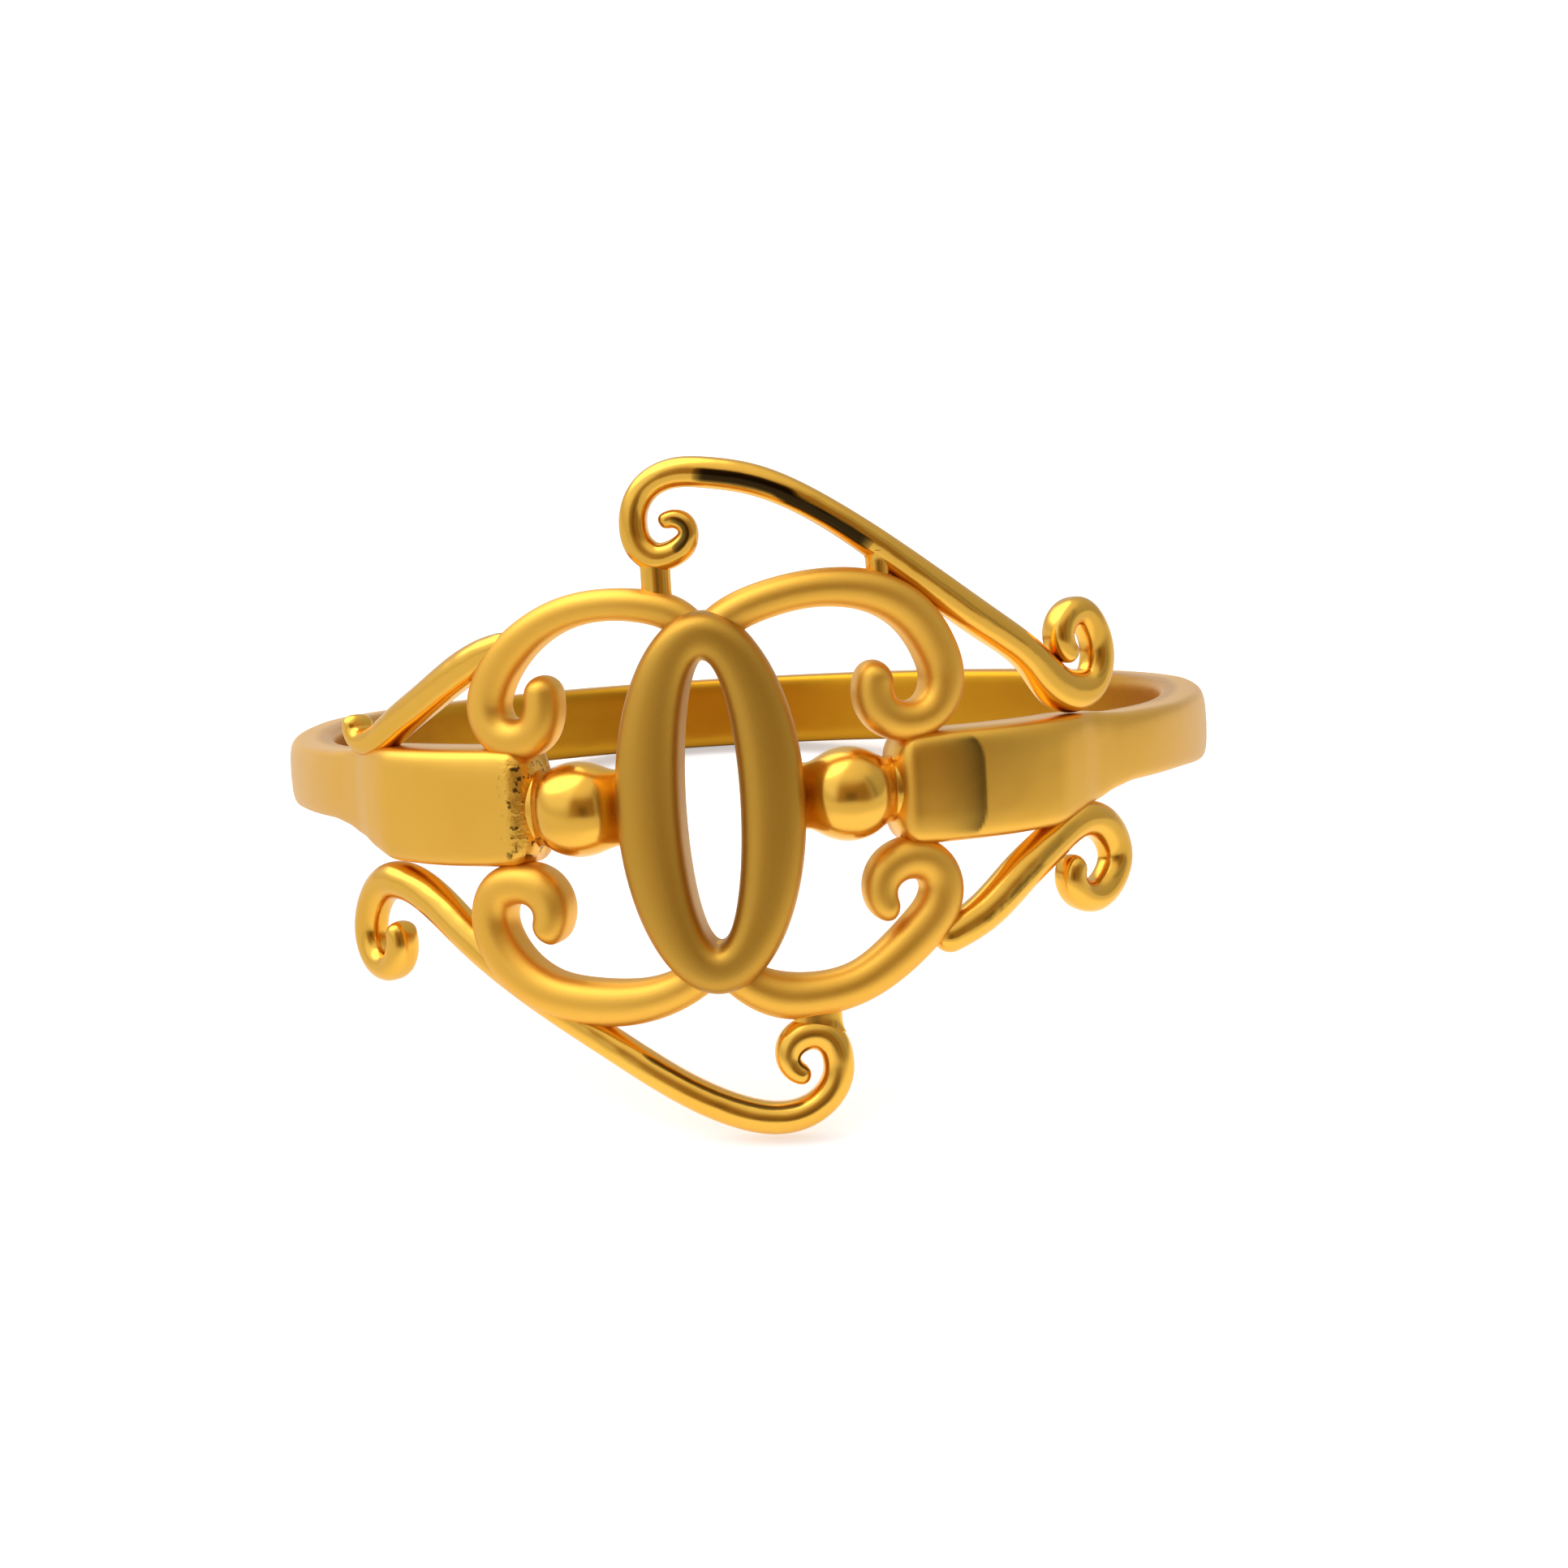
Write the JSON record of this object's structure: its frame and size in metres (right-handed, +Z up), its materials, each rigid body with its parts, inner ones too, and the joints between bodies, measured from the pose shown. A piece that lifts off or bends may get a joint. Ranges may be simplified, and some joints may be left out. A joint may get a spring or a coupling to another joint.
{
  "type": "scrollwork gold finger ring",
  "caption": "Gold finger ring: a plain band with broad smooth shoulders, and a pierced face of curled scrolls and beads round an upright oval hoop.",
  "frame": {"origin": "middle of the finger bore, level with the middle of the band", "axes": "+Z is up with the ring lying on its side, so the finger axis leans 16.2 degrees from it; the scrollwork face looks towards -Y, and +X is to the right of someone who looks at the face"},
  "size_m": [0.0192, 0.0203, 0.0115],
  "materials": {
    "gold": "satin scrolls, polished wires, beads and band"
  },
  "bodies": {
    "root": {"ring": "gold"}
  },
  "joints": []
}
